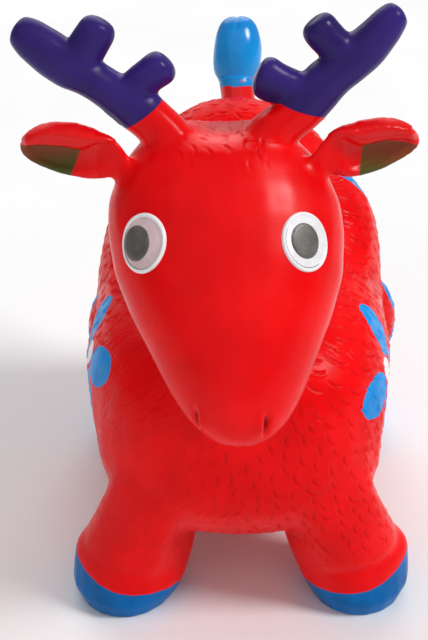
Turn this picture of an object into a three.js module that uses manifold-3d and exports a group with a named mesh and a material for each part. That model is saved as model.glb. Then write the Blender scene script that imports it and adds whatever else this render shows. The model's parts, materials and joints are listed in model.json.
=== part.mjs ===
// Inflatable deer hopper: a bouncing seat for a small child, one hollow moulded vinyl skin filled with air.
// The skin is divided into the zones that a person would name, and each zone is a shell of its own.
// Units are millimetres and +Z is up. The animal faces -Y, so its left side is +X.
// The origin is on the floor, under the middle of the bounding box.

import * as THREE from "three";
import { mergeVertices } from "three/addons/utils/BufferGeometryUtils.js";
import Module from "manifold-3d";

const wasm = await Module();
wasm.setup();

// The skin
const wall = 2; // thickness of the vinyl
const seam = 0.3; // clearance between neighbouring pieces

// The torso, a barrel along Y whose middle is the drawing's zero in X and Y
const torsoLength = 412;
const torsoWidth = 270;
const torsoHeight = 226;
const rumpWidth = 298;
const rumpHeight = 302;
const rumpRise = 52; // how much higher the middle of the rump is than the middle of the chest
const bellyClearance = 57; // floor to belly
const saddleDip = 12; // how far the back sinks where the rider sits
const barrelFullness = 3.2; // 2 gives elliptic ends, more gives blunter ones
const barrelSquareness = 2.8; // 2 gives an elliptic section, more gives a squarer one

// The legs: short splayed stubs, each with a painted hoof and a flat sole
const frontFootX = 101; // centre of the sole
const frontFootY = -140;
const frontHipX = 50;
const frontHipY = -112;
const frontHipWidth = 72;
const rearFootX = 106;
const rearFootY = 120;
const rearHipX = 96;
const rearHipY = 96;
const rearHipWidth = 128;
const hipHeight = 142;
const hipLength = 118;
const ankleHeight = 84;
const frontAnkleWidth = 80;
const rearAnkleWidth = 92;
const footWidth = 99;
const legFullness = 3.2;
const soleDepth = 16; // how much of the foot's round end is cut away to make its sole
const hoofHeight = 28; // floor to the upper edge of the hoof

// The neck runs from inside the torso to inside the head
const neckFootY = -78;
const neckFootZ = 236;
const neckTopY = -146;
const neckTopZ = 392;
const neckWidth = 156;
const neckDepth = 136;
const neckFullness = 3;

// The head hangs from the neck with its muzzle low and forward
const crownY = -122;
const crownZ = 434;
const noseY = -281;
const noseZ = 246;
const crownWidth = 152;
const skullWidth = 178;
const cheekWidth = 164;
const snoutWidth = 124;
const muzzleWidth = 100;
const skullDepth = 134;
const muzzleDepth = 90;
const headFullness = 2.5;
const headLean = -0.08; // sideways drift of the soft head for each millimetre of height above the nose

// The eyes are thin discs bent to the face, each with a pupil on it
const eyeX = 56;
const eyeY = -224;
const eyeZ = 376;
const eyeSideways = 52; // degrees that an eye looks outwards
const eyeUpwards = 28; // degrees that it looks up
const eyeWidth = 37.5;
const eyeHeight = 42;
const eyeThickness = 1.5;
const pupilWidth = 22.5;
const pupilHeight = 25;
const pupilThickness = 0.8;
const leftPupilOutwards = -3; // how far a pupil sits from the middle of its eye, away from the nose
const rightPupilOutwards = 5;
const eyeReach = 60; // length of the tool that cuts an eye from the face

// The antlers are the handles: a beam with two tines on a flexible stub
const antlerRootX = 18;
const antlerRootY = -164;
const antlerRootZ = 424;
const antlerTipX = 132;
const antlerTipZ = 507;
const antlerSweep = 14; // how far the tip stands behind the root
const antlerRoll = -3.6; // degrees that the leaning head turns both antlers, seen from the front
const antlerRootWidth = 44;
const antlerBeamWidth = 30;
const antlerFlexAt = 0.21; // the middle of the flexing, along the beam
const antlerFlexRadius = 24; // the stub ends on a ball of this size, and the antler begins there
const browTineAt = 0.42;
const browTineX = 33;
const browTineZ = 484;
const highTineAt = 0.68;
const highTineX = 74;
const highTineZ = 511;
const tineWidth = 24;
const antlerFullness = 5;

// The ears are solid flaps with a hollowed front
const earRootX = 62;
const earRootY = -178;
const earRootZ = 412;
const earTipX = 143;
const earTipZ = 422;
const earArch = 7; // how far the flap bows up between root and tip
const earSweep = 18; // how far the tip stands behind the root
const earRootBreadth = 32;
const earBreadth = 40;
const earThickness = 14;
const earRim = 2.6; // width of the rim round the hollow
const earFullness = 2.2;
const earFlexRadius = 24;

// The tail: a stem with a painted bulb, bending at its root
const tailRootY = 172;
const tailRootZ = 276;
const tailTipY = 226;
const tailTipZ = 426;
const tailRootWidth = 62;
const tailStemWidth = 35;
const tailBulbWidth = 49;
const tailBulbLength = 72;
const tailFullness = 3.2;
const tailFlexAt = 0.22;
const tailFlexRadius = 36;

// The air valve in the belly: a collar through the skin and a ribbed push-in plug with a pull tab
const valveY = 16;
const collarWidth = 26;
const collarLength = 15; // from its flange's outer face into the air
const flangeWidth = 36;
const flangeThickness = 2.2;
const plugRibWidth = 12;
const plugShankWidth = 10.4;
const plugLength = 20;
const plugRibCount = 3;
const plugRibHeight = 2.4;
const plugHeadWidth = 22;
const plugHeadThickness = 3;
const tabWidth = 14;
const tabDrop = 10;
const tabThickness = 3;

// Finishes
const red = { color: 0xe60f16, roughness: 0.38, metalness: 0 };
const blue = { color: 0x0a86d6, roughness: 0.38, metalness: 0 };
const purple = { color: 0x35236f, roughness: 0.34, metalness: 0 };
const white = { color: 0xeeeae6, roughness: 0.35, metalness: 0 };
const dark = { color: 0x37322f, roughness: 0.3, metalness: 0 };
const clear = { color: 0xd9d4c8, roughness: 0.45, metalness: 0 };

const far = 1000; // larger than the whole toy, for cutting tools
const sides = [
  { name: "left", sign: 1, pupilOutwards: leftPupilOutwards },
  { name: "right", sign: -1, pupilOutwards: rightPupilOutwards },
];
const between = THREE.MathUtils.lerp;
const sideways = new THREE.Vector3(1, 0, 0);
const upwards = new THREE.Vector3(0, 0, 1);
const forwards = new THREE.Vector3(0, -1, 0);

// Positions alone, with the vertices that faces share merged
function bare(geometry) {
  const plain = geometry.clone();
  plain.deleteAttribute("normal");
  plain.deleteAttribute("uv");
  return mergeVertices(plain, 1e-3);
}

function solid(geometry) {
  const merged = bare(geometry);
  return new wasm.Manifold(
    new wasm.Mesh({
      numProp: 3,
      vertProperties: merged.getAttribute("position").array,
      triVerts: new Uint32Array(merged.index.array),
    }),
  );
}

const join = (solids) => solids.reduce((sum, next) => sum.add(next));

// The surface moved along its normals: outwards for a clearance, inwards for the inside of a wall
function offset(geometry, distance) {
  const moved = bare(geometry);
  moved.computeVertexNormals();
  const place = moved.getAttribute("position");
  const normal = moved.getAttribute("normal");
  for (let i = 0; i < place.count; i += 1) {
    const point = new THREE.Vector3().fromBufferAttribute(place, i);
    point.addScaledVector(new THREE.Vector3().fromBufferAttribute(normal, i), distance);
    place.setXYZ(i, point.x, point.y, point.z);
  }
  return moved;
}

// A limb is a sphere drawn out along stations of { at: [x, y, z], wide, deep }.
// Width runs along the side vector and depth square to it.
function limb(stations, { fullness, squareness = 2, around, along, side = sideways }) {
  const centres = new THREE.CatmullRomCurve3(stations.map(({ at }) => new THREE.Vector3(...at)));
  const sizes = new THREE.CatmullRomCurve3(
    stations.map(({ wide, deep }) => new THREE.Vector3(wide / 2, deep / 2, 0)),
  );
  const drawn = new THREE.SphereGeometry(1, around, along);
  const place = drawn.getAttribute("position");
  const power = (value, exponent) => Math.sign(value) * Math.abs(value) ** exponent;
  for (let i = 0; i < place.count; i += 1) {
    const unit = new THREE.Vector3().fromBufferAttribute(place, i);
    const ring = Math.hypot(unit.x, unit.z);
    const angle = Math.atan2(unit.z, unit.x);
    const swell = ring ** (2 / fullness);
    const t = THREE.MathUtils.clamp((1 - power(unit.y, 2 / fullness)) / 2, 0, 1);
    const size = sizes.getPoint(t);
    const tangent = centres.getTangent(t);
    const deepwards = new THREE.Vector3().crossVectors(tangent, side).normalize();
    const widewards = new THREE.Vector3().crossVectors(deepwards, tangent).normalize();
    const point = centres.getPoint(t);
    point.addScaledVector(widewards, swell * size.x * power(Math.cos(angle), 2 / squareness));
    point.addScaledVector(deepwards, swell * size.y * power(Math.sin(angle), 2 / squareness));
    place.setXYZ(i, point.x, point.y, point.z);
  }
  return drawn;
}

const round = (at, width) => ({ at, wide: width, deep: width });

// A flexing piece ends on a ball, so that its turning never meets the stub, which is a rod with that ball for an end
function flexStub(root, centre, radius, clearance) {
  const end = new THREE.SphereGeometry(radius + clearance, 24, 16).translate(...centre);
  const from = new THREE.Vector3(...root);
  const run = new THREE.Vector3(...centre).sub(from);
  const length = run.length() + radius;
  const rod = new THREE.CylinderGeometry(radius + clearance, radius + clearance, length, 24);
  rod.translate(0, -length / 2, 0);
  rod.applyQuaternion(new THREE.Quaternion().setFromUnitVectors(new THREE.Vector3(0, 1, 0), run.normalize()));
  return solid(end).add(solid(rod.translate(...centre)));
}

// Everything below a height
function below(height) {
  return solid(new THREE.BoxGeometry(2 * far, 2 * far, far).translate(0, 0, height - far / 2));
}

// A turned piece on the Z axis, from a profile of [radius, z] that runs anticlockwise
function turned(profile) {
  const points = profile.map(([radius, z]) => new THREE.Vector2(radius, z));
  return new THREE.LatheGeometry(points, 32).rotateX(Math.PI / 2);
}

// A skin zone: its outside, and the air inside its wall
function zone(...geometries) {
  return {
    outside: join(geometries.map(solid)),
    air: join(geometries.map((geometry) => solid(offset(geometry, -wall)))),
  };
}

// Torso
const torsoMiddle = bellyClearance + torsoHeight / 2 + saddleDip;
const torsoShape = limb(
  [
    { at: [0, -torsoLength / 2, torsoMiddle], wide: torsoWidth, deep: torsoHeight },
    { at: [0, 0, torsoMiddle - saddleDip], wide: torsoWidth, deep: torsoHeight },
    { at: [0, torsoLength / 2, torsoMiddle + rumpRise], wide: rumpWidth, deep: rumpHeight },
  ],
  { fullness: barrelFullness, squareness: barrelSquareness, around: 28, along: 18 },
);
const torso = zone(torsoShape);
const torsoClear = solid(offset(torsoShape, seam));

// Legs
function legShape(sign, hip, foot) {
  const down = (hipHeight - ankleHeight) / (hipHeight - hoofHeight);
  const ankle = [sign * between(hip.x, foot.x, down), between(hip.y, foot.y, down), ankleHeight];
  return limb(
    [
      { at: [sign * hip.x, hip.y, hipHeight + hipLength / 2], wide: hip.wide, deep: hipLength },
      { at: [sign * hip.x, hip.y, hipHeight], wide: hip.wide, deep: hipLength },
      round(ankle, foot.ankle),
      round([sign * foot.x, foot.y, hoofHeight], footWidth),
      round([sign * foot.x, foot.y, -soleDepth], footWidth),
    ],
    { fullness: legFullness, around: 18, along: 12 },
  );
}

const frontHip = { x: frontHipX, y: frontHipY, wide: frontHipWidth };
const frontFoot = { x: frontFootX, y: frontFootY, ankle: frontAnkleWidth };
const rearHip = { x: rearHipX, y: rearHipY, wide: rearHipWidth };
const rearFoot = { x: rearFootX, y: rearFootY, ankle: rearAnkleWidth };
const legs = sides.flatMap(({ name, sign }) => [
  { name: `front_${name}`, whole: zone(legShape(sign, frontHip, frontFoot)) },
  { name: `rear_${name}`, whole: zone(legShape(sign, rearHip, rearFoot)) },
]);
for (const leg of legs) {
  leg.outside = leg.whole.outside.subtract(below(0));
  leg.air = leg.whole.air.subtract(below(wall));
}

// The soft head drifts sideways as it rises from the nose
const lean = new THREE.Matrix4().set(1, 0, headLean, -headLean * noseZ, 0, 1, 0, 0, 0, 0, 1, 0, 0, 0, 0, 1);
const leaning = (at) => new THREE.Vector3(...at).applyMatrix4(lean).toArray();

// Neck
const neckShape = limb(
  [0, 0.5, 1].map((t) => ({
    at: [0, between(neckFootY, neckTopY, t), between(neckFootZ, neckTopZ, t)],
    wide: neckWidth,
    deep: neckDepth,
  })),
  { fullness: neckFullness, around: 18, along: 10 },
).applyMatrix4(lean);
const neck = zone(neckShape);

// Head
const headWidths = [crownWidth, skullWidth, cheekWidth, snoutWidth, muzzleWidth];
const headShape = limb(
  headWidths.map((wide, i) => {
    const t = i / (headWidths.length - 1);
    return {
      at: [0, between(crownY, noseY, t), between(crownZ, noseZ, t)],
      wide,
      deep: between(skullDepth, muzzleDepth, t),
    };
  }),
  { fullness: headFullness, around: 26, along: 18 },
).applyMatrix4(lean);
const head = zone(headShape);
const headClear = solid(offset(headShape, seam));

// Antlers
function antlerParts(sign) {
  const beamPoint = (t) => [
    sign * between(antlerRootX, antlerTipX, t),
    antlerRootY + antlerSweep * t,
    between(antlerRootZ, antlerTipZ, t),
  ];
  const flexBefore = beamPoint(antlerFlexAt);
  const away = flexBefore.map((value) => -value);
  const flex = leaning(flexBefore);
  const roll = new THREE.Matrix4()
    .makeTranslation(...flex)
    .multiply(new THREE.Matrix4().makeRotationY(THREE.MathUtils.degToRad(antlerRoll)))
    .multiply(new THREE.Matrix4().makeTranslation(...away));
  const tube = (stations) =>
    limb(stations, { fullness: antlerFullness, around: 10, along: 8, side: forwards }).applyMatrix4(roll);
  const flare = (t) => THREE.MathUtils.smoothstep(t, 0, browTineAt);
  const beam = tube(
    [0, 0.2, 0.4, 0.7, 1].map((t) => round(beamPoint(t), between(antlerRootWidth, antlerBeamWidth, flare(t)))),
  );
  const tine = (at, tipX, tipZ) => {
    const start = new THREE.Vector3(...beamPoint(at));
    const tip = new THREE.Vector3(sign * tipX, start.y, tipZ);
    return tube([0, 0.5, 1].map((t) => round(start.clone().lerp(tip, t).toArray(), tineWidth)));
  };
  const root = new THREE.Vector3(...beamPoint(0)).applyMatrix4(roll).toArray();
  return {
    ...zone(beam, tine(browTineAt, browTineX, browTineZ), tine(highTineAt, highTineX, highTineZ)),
    flex,
    stub: (clearance) => flexStub(root, flex, antlerFlexRadius, clearance),
  };
}

const antlers = sides.map(({ name, sign }) => ({ name, ...antlerParts(sign) }));

// Ears
function earShape(sign, trim, forward) {
  const breadths = [earRootBreadth, earBreadth, earBreadth, earRootBreadth];
  return limb(
    breadths.map((breadth, i) => {
      const t = i / (breadths.length - 1);
      return {
        at: [
          sign * between(earRootX, earTipX - trim, t),
          earRootY + earSweep * t - forward,
          between(earRootZ, earTipZ, t) + earArch * Math.sin(Math.PI * t),
        ],
        wide: breadth - 2 * trim,
        deep: earThickness,
      };
    }),
    { fullness: earFullness, around: 14, along: 12, side: upwards },
  ).applyMatrix4(lean);
}

const ears = sides.map(({ name, sign }) => {
  const flex = leaning([sign * earRootX, earRootY, earRootZ]);
  const skull = leaning([0, earRootY, earRootZ]);
  return {
    name,
    outside: solid(earShape(sign, 0, 0)).subtract(solid(earShape(sign, earRim, earThickness / 2))),
    flex,
    stub: (clearance) => flexStub(skull, flex, earFlexRadius, clearance),
  };
});

// Tail
const tailPoint = (t) => [0, between(tailRootY, tailTipY, t), between(tailRootZ, tailTipZ, t)];
const tailRun = Math.hypot(tailTipY - tailRootY, tailTipZ - tailRootZ);
const bulbStart = 1 - tailBulbLength / tailRun;
const tailShape = limb(
  [
    round(tailPoint(0), tailRootWidth),
    round(tailPoint(bulbStart / 2), tailStemWidth),
    round(tailPoint(bulbStart), tailStemWidth),
    round(tailPoint((1 + bulbStart) / 2), tailBulbWidth),
    round(tailPoint(1), tailBulbWidth),
  ],
  { fullness: tailFullness, around: 14, along: 16 },
);
const tail = {
  ...zone(tailShape),
  stub: (clearance) => flexStub(tailPoint(0), tailPoint(tailFlexAt), tailFlexRadius, clearance),
};

// Everything beyond the paint line of the tail, which is square to it
function beyondPaintLine(clearance) {
  return solid(
    new THREE.BoxGeometry(2 * far, 2 * far, far)
      .translate(0, 0, far / 2 - clearance)
      .rotateX(-Math.atan2(tailTipY - tailRootY, tailTipZ - tailRootZ))
      .translate(...tailPoint(bulbStart)),
  );
}

// All the air inside the skin
const cavity = join([torso, neck, head, tail, ...legs, ...antlers].map((part) => part.air));

// The part of a flexing piece that stays with its neighbour, and the part that moves
const fixedEnd = (part) => part.outside.intersect(part.stub(0));
const freeEnd = (part) => part.outside.subtract(part.stub(seam));

// A disc that follows the face, between two heights above it
function faceDisc(sign, width, height, outwards, low, high) {
  const look = new THREE.Euler(
    THREE.MathUtils.degToRad(-eyeUpwards),
    0,
    THREE.MathUtils.degToRad(sign * eyeSideways),
    "ZYX",
  );
  const cutter = new THREE.CylinderGeometry(0.5, 0.5, eyeReach, 28)
    .scale(width, 1, height)
    .applyMatrix4(new THREE.Matrix4().makeRotationFromEuler(look))
    .translate(...leaning([sign * (eyeX + outwards), eyeY, eyeZ]));
  return solid(offset(headShape, high))
    .subtract(solid(offset(headShape, low)))
    .intersect(solid(cutter));
}

// Air valve: the collar's flange follows the belly and its sleeve passes through the skin
const boreRadius = plugRibWidth / 2 + seam;
const sleeveRadius = collarWidth / 2;
const collarFoot = bellyClearance - seam - flangeThickness;
const ring = (radius, top) =>
  solid(
    turned([
      [boreRadius, collarFoot],
      [radius, collarFoot],
      [radius, top],
      [boreRadius, top],
      [boreRadius, collarFoot],
    ]).translate(0, valveY, 0),
  );
const flange = ring(flangeWidth / 2, bellyClearance + wall).subtract(torsoClear);
const sleeve = ring(sleeveRadius, collarFoot + collarLength);
const valveHole = solid(
  new THREE.CylinderGeometry(sleeveRadius + seam, sleeveRadius + seam, 2 * collarLength, 32)
    .rotateX(Math.PI / 2)
    .translate(0, valveY, bellyClearance),
);

const plugRings = [
  [0, 0],
  [plugHeadWidth / 2, 0],
  [plugHeadWidth / 2, plugHeadThickness],
];
const ribPitch = plugLength / plugRibCount;
for (let rib = 1; rib <= plugRibCount; rib += 1) {
  const top = plugHeadThickness + rib * ribPitch;
  plugRings.push([plugShankWidth / 2, top - ribPitch]);
  plugRings.push([plugShankWidth / 2, top - plugRibHeight]);
  plugRings.push([plugRibWidth / 2, top - plugRibHeight]);
}
plugRings.push([plugShankWidth / 2, plugHeadThickness + plugLength]);
plugRings.push([0, plugHeadThickness + plugLength]);
const tabOutline = new THREE.Shape();
tabOutline.moveTo(-tabWidth / 2, plugHeadThickness / 2);
tabOutline.lineTo(-tabWidth / 2, tabWidth / 2 - tabDrop);
tabOutline.absarc(0, tabWidth / 2 - tabDrop, tabWidth / 2, Math.PI, 2 * Math.PI);
tabOutline.lineTo(tabWidth / 2, plugHeadThickness / 2);
const tab = new THREE.ExtrudeGeometry(tabOutline, { depth: tabThickness, bevelEnabled: false, curveSegments: 12 })
  .translate(0, 0, -tabThickness / 2)
  .rotateX(Math.PI / 2);
const plug = [turned(plugRings), tab].map((piece) =>
  solid(piece.translate(0, valveY, collarFoot - seam - plugHeadThickness)),
);

const hopper = new THREE.Group();

function node(name, body, finish) {
  const mesh = body.getMesh();
  const geometry = new THREE.BufferGeometry();
  geometry.setAttribute("position", new THREE.BufferAttribute(mesh.vertProperties, 3));
  geometry.setIndex(new THREE.BufferAttribute(mesh.triVerts, 1));
  geometry.computeVertexNormals();
  const made = new THREE.Mesh(geometry, new THREE.MeshStandardMaterial(finish));
  made.name = name;
  hopper.add(made);
}

// The skin zones
const headOutside = join([head.outside, ...antlers.map(fixedEnd), ...ears.map(fixedEnd)]);
node("torso", torso.outside.add(fixedEnd(tail)).subtract(cavity).subtract(valveHole), red);
node("head", headOutside.subtract(cavity), red);
node("neck", neck.outside.subtract(torsoClear).subtract(headClear).subtract(cavity), red);
for (const leg of legs) {
  const shell = leg.outside.subtract(cavity);
  node(`leg_${leg.name}`, shell.subtract(below(hoofHeight + seam)).subtract(torsoClear), red);
  node(`hoof_${leg.name}`, shell.intersect(below(hoofHeight)), blue);
}
for (const antler of antlers) {
  node(`antler_${antler.name}`, freeEnd(antler).subtract(headClear).subtract(cavity), purple);
}
for (const ear of ears) {
  node(`ear_${ear.name}`, freeEnd(ear).subtract(headClear), red);
}
const freeTail = freeEnd(tail).subtract(torsoClear).subtract(cavity);
node("tail_stem", freeTail.subtract(beyondPaintLine(seam)), red);
node("tail_bulb", freeTail.intersect(beyondPaintLine(0)), blue);

// The eyes
for (const { name, sign, pupilOutwards } of sides) {
  const eyeTop = seam + eyeThickness;
  const pupilTop = eyeTop + seam + pupilThickness;
  node(`eye_${name}`, faceDisc(sign, eyeWidth, eyeHeight, 0, seam, eyeTop), white);
  const pupil = faceDisc(sign, pupilWidth, pupilHeight, pupilOutwards, eyeTop + seam, pupilTop);
  node(`pupil_${name}`, pupil, dark);
}

// The valve
node("valve_collar", flange.add(sleeve), clear);
node("air_plug", join(plug), clear);

const centred = new THREE.Group();
centred.add(hopper);
const middle = new THREE.Box3().setFromObject(hopper).getCenter(new THREE.Vector3());
hopper.position.set(-middle.x, -middle.y, 0);

export default centred;
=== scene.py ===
"""An inflatable reindeer hopper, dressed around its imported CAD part. Lengths are in metres."""

import json
import math

import bmesh
import bpy
import numpy as np
from mathutils import Matrix, Vector
from mathutils.bvhtree import BVHTree
from mathutils.kdtree import KDTree


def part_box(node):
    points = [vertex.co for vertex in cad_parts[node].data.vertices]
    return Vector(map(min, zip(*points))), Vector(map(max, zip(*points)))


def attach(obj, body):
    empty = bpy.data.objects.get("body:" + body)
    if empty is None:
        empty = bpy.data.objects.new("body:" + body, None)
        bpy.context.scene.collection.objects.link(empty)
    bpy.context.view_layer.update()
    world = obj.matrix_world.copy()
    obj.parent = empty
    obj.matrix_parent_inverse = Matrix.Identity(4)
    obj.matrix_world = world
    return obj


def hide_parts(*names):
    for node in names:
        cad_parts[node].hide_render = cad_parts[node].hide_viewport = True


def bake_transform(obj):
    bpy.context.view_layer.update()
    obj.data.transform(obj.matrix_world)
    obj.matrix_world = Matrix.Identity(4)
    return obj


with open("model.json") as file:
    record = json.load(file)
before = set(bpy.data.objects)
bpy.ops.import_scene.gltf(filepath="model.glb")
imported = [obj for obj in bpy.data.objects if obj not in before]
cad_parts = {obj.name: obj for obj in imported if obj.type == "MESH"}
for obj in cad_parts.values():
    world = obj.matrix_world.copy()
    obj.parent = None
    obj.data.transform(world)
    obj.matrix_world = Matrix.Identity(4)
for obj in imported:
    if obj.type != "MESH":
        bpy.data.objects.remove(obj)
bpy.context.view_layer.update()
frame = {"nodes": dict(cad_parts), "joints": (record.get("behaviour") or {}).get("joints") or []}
joints = {joint["name"]: joint for joint in frame["joints"]}
MM = 0.001

# Names of the inflated limbs
SIDES = {"left": 1, "right": -1}
CORNERS = [f"{end}_{side}" for end in ("front", "rear") for side in SIDES]
LEGS = [f"leg_{corner}" for corner in CORNERS]
HOOVES = [f"hoof_{corner}" for corner in CORNERS]
ANTLERS = [f"antler_{side}" for side in SIDES]
EARS = [f"ear_{side}" for side in SIDES]
SKIN_NODES = ["torso", "neck", "head", "tail_stem", "tail_bulb", *LEGS, *HOOVES, *ANTLERS, *EARS]

# Moulding of the skin, where a pair is the start and the end of a soft ramp
SKIN_GRID = 1.35 * MM
MERGE_DISTANCE = 0.01 * MM
NODE_MARGIN = 6 * MM
LIMB_MARGIN = 8 * MM
SMOOTH_STEP = 0.9
STEP_PASSES = 8
FACET_PASSES = 90
CREASE_PASSES = 70
WEIGHT_LEVELS = 20
CREASE_DEPTH = 0.02 * MM
CREASE_REACH = 10
NORMALS_EVERY = 8
ANTLER_SHARE = 0.35
EAR_SHARE = 0.06
HOOF_SHARE = 0.3
SLIM_MARGIN = 4 * MM
ROOT_FADE = (-10 * MM, 6 * MM)
HOOF_FADE = (25 * MM, 45 * MM)

# Fillets between the body, the legs and the neck
FILLER_GRID = 5 * MM
FILLER_PASSES = 240
FILLER_SINK = 0.4 * MM
FILL_OUTSIDE = (78 * MM, 105 * MM)
FILL_FRONT = (122 * MM, 140 * MM)
FILL_FRONT_OUT = (50 * MM, 72 * MM)
FILL_NECK = (200 * MM, 230 * MM)
FILL_HOOF = (30 * MM, 60 * MM)
NECK_FILL = 0.6
LEAST_FILL = 0.06
PAD_INSIDE = 50 * MM
PAD_CHEST = 97 * MM
PAD_CHEST_FRONT = -130 * MM
PAD_CHEST_HEIGHTS = (105 * MM, 190 * MM)
PAD_FOOT = 146 * MM
PAD_FOOT_FRONT = -92 * MM
PAD_FOOT_HEIGHTS = (30 * MM, 52 * MM)
STOPPER_RADIUS = 15 * MM
STOPPER_DEPTH = 6 * MM
STOPPER_LIFT = 6.5 * MM
STOPPER_SIDES = 32

# Cuts between the pieces of the skin, and where the limbs bend
CAP_DEPTH = 3 * MM
PARTING_HEIGHT = 203 * MM
CHEST_BACK = -62 * MM
HOOF_SPLIT = 27 * MM
HOOF_REACH = 70 * MM
LIMB_BALL = {"antler": 27 * MM, "ear": 26 * MM}
TAIL_CUT = 41 * MM
TAIL_REACH = 40 * MM
TAIL_SEAM = 3 * MM

# Soft pulls on the skin, each with its middle, its reach and how far it goes, in millimetres
PULLS = {
    "poll": ((-14, -126, 447), 50, (0, 0, -15)),
    "rump": ((-4, 178, 325), (150, 110, 62), (0, 6, 40)),
    "left upper flank": ((100, 70, 292), 88, (10, 0, 10)),
    "right upper flank": ((-105, 40, 270), 80, (-4, 0, 3)),
    "left waist": ((135, -70, 150), 65, (-10, 0, 0)),
    "right waist": ((-135, -70, 150), 65, (4, 0, 0)),
    "left ear web": ((66, -150, 425), 26, (0, 0, 8)),
    "right ear web": ((-92, -150, 418), 24, (0, 0, 6)),
    "left haunch": ((150, 140, 175), 70, (5, 0, 0)),
    "right haunch": ((-150, 140, 190), 70, (3, 0, 0)),
    "right shoulder": ((-137, -60, 205), 90, (-3, 0, 0)),
    "chest underside": ((0, -120, 75), 75, (0, -1, -3.5)),
    "right front foot": ((-100, -112, 15), 85, (-1, -5, 0)),
    "right front foot outside": ((-152, -112, 25), 45, (-2.5, 0, 0)),
    "right front leg inside": ((-58, -115, 75), 50, (4.5, 0, 0)),
    "left front leg outside": ((155, -112, 38), 42, (3, 0, 0)),
    "left front leg inside": ((55, -115, 60), 60, (-5, 0, 0)),
    "right front foot inside": ((-52, -125, 25), 48, (5, 0, 0)),
    "left ear tip": ((125, -142, 424), 45, (0, 0, 4)),
    "right ear root": ((-85, -148, 408), 25, (0, 0, -3)),
    "right antler outer tine": ((-148, -130, 500), 60, (-3.5, 0, 6)),
    "right antler underside": ((-97, -132, 457), (42, 40, 20), (0, 0, 4.5)),
    "right antler tip underside": ((-150, -130, 474), (45, 40, 26), (0, 0, -3)),
    "right antler middle tine": ((-94, -130, 508), 30, (1.5, 0, 2.5)),
    "right antler inner tine": ((-52, -130, 480), 30, (2.5, 0, 0)),
    "left antler beam": ((85, -130, 490), 50, (0, 0, -3)),
    "left antler outer tine": ((125, -130, 508), 44, (-1, 0, 6)),
    "left antler middle tine": ((55, -130, 506), 30, (-3, 0, -3)),
    "left antler inner tine": ((22, -130, 472), 32, (-1, 0, -10)),
    "left antler root": ((52, -138, 442), 36, (4, 0, -4)),
    "tail tip": ((0, 240, 432), 45, (0, 0, -3)),
    "tail right side": ((-22, 230, 372), 32, (-3, 0, 0)),
}
ANTLER_SWELL = 1.0 * MM
TAIL_SWELL = 1.2 * MM
SWELL_FADE = (15 * MM, 40 * MM)
TAIL_SWELL_HEIGHTS = (335 * MM, 360 * MM)

# Moulded details of the legs, the muzzle and the tail
ANKLE_INNER = 63 * MM
ANKLE_HEIGHT = 47 * MM
ANKLE_SLOPE = 0.17
ANKLE_WIDTH = 6 * MM
ANKLE_DEPTH = {"left": 1.4 * MM, "right": 0.4 * MM}
ANKLE_REACH = 66 * MM
ANKLE_FADE = 8 * MM
ANKLE_OUTSIDE = (48 * MM, 90 * MM)
ANKLE_SWELL = 0.4
ANKLE_SWELL_DROP = 2 * ANKLE_WIDTH
ANKLE_SWELL_WIDTH = 1.3 * ANKLE_WIDTH
NOSTRIL_PLACES = (Vector((-30.5, -254.3, 268.5)) * MM, Vector((18.2, -260.5, 266.5)) * MM)
NOSTRIL_SLANT = 0.3
NOSTRIL_LEAN = 0.1
NOSTRIL_FACING = 0.7
NOSTRIL_LENGTH = 15 * MM
NOSTRIL_WIDTH = 2.3 * MM
NOSTRIL_DEPTH = 5.2 * MM
NOSTRIL_LIP = 0.4 * NOSTRIL_DEPTH
NOSTRIL_LIP_SHIFT = 2.2 * NOSTRIL_WIDTH
NOSTRIL_LIP_WIDTH = 1.6 * NOSTRIL_WIDTH
# Reach of the painted shade down in each nostril slit
NOSTRIL_SHADE_LENGTH = 0.55 * NOSTRIL_LENGTH
NOSTRIL_SHADE_WIDTH = 0.9 * NOSTRIL_WIDTH
NOSTRIL_SHADE_EDGE = (1.2, 0.3)
TAIL_NOTCH = 1.3 * MM
TAIL_NOTCH_WIDTH = 2.2 * MM
TAIL_NOTCH_SHIFT = 1 * MM
TAIL_NOTCH_RUN = (14 * MM, 4 * MM)

# Folds of the ears, with their places in shares of an ear's length and width
EAR_SWEEP = 0.18
EAR_LIFT = 0.03
EAR_STATIONS = 14
EAR_SPAN = (0.22, 0.96)
EAR_SLICE = 0.08
EAR_LEAST_WIDTH = 1 * MM
EAR_CURVE_DEGREE = 3
EAR_FRONT = (0.05, 0.45)
EAR_TIP = (0.86, 1)
EAR_RIDGE = 0.57
EAR_RIDGE_RISE = 0.18
EAR_RIDGE_FALL = (0, 0.4)
EAR_HOLLOW = 3.5 * MM
HOLLOW_FOOT = (0.03, 0.22)
HOLLOW_TOP = (-0.07, 0.03)
HOLLOW_ROOT = (0.1, 0.5)
EAR_BAND = 5.5 * MM
BAND_FOOT = (-0.07, 0.07)
BAND_TOP = (0.82, 1.02)
BAND_ROOT = (-0.02, 0.3)

# Moulded fur
FUR_SEED = 11
FUR_TRIES = 40000
FUR_SPACING = 10.5 * MM
FUR_SPREAD = (0.85, 1.15)
FUR_TURN = math.radians(13)
FUR_LENGTH = (11 * MM, 17 * MM)
FUR_WIDTH = 0.95 * MM
FUR_DEPTH = 1.5 * MM
FUR_LIP = 0.75 * MM
FUR_LIP_SHIFT = 1.9 * FUR_WIDTH
FUR_LIP_WIDTH = 1.2 * FUR_WIDTH
FUR_BOW = 0.17
FUR_LEAST = 0.1
FUR_FOOT = (62 * MM, 80 * MM)
FUR_ROOT = (20 * MM, 26 * MM)
FUR_FLOW = (0.6, 0.35, -0.8)
FUR_PARTING = 35 * MM
FUR_WEAR = 0.72
WORN_SIDE = (-10 * MM, 50 * MM)
WORN_FRONT = (60 * MM, 110 * MM)
# Share of painted shade down in the fur grooves
FUR_GROOVE_SHADE = 0.35
POLL_FLOW = Vector((0.3, -0.8, -0.6))
POLL_BACK = -95 * MM
POLL_FOOT = 405 * MM
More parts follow.
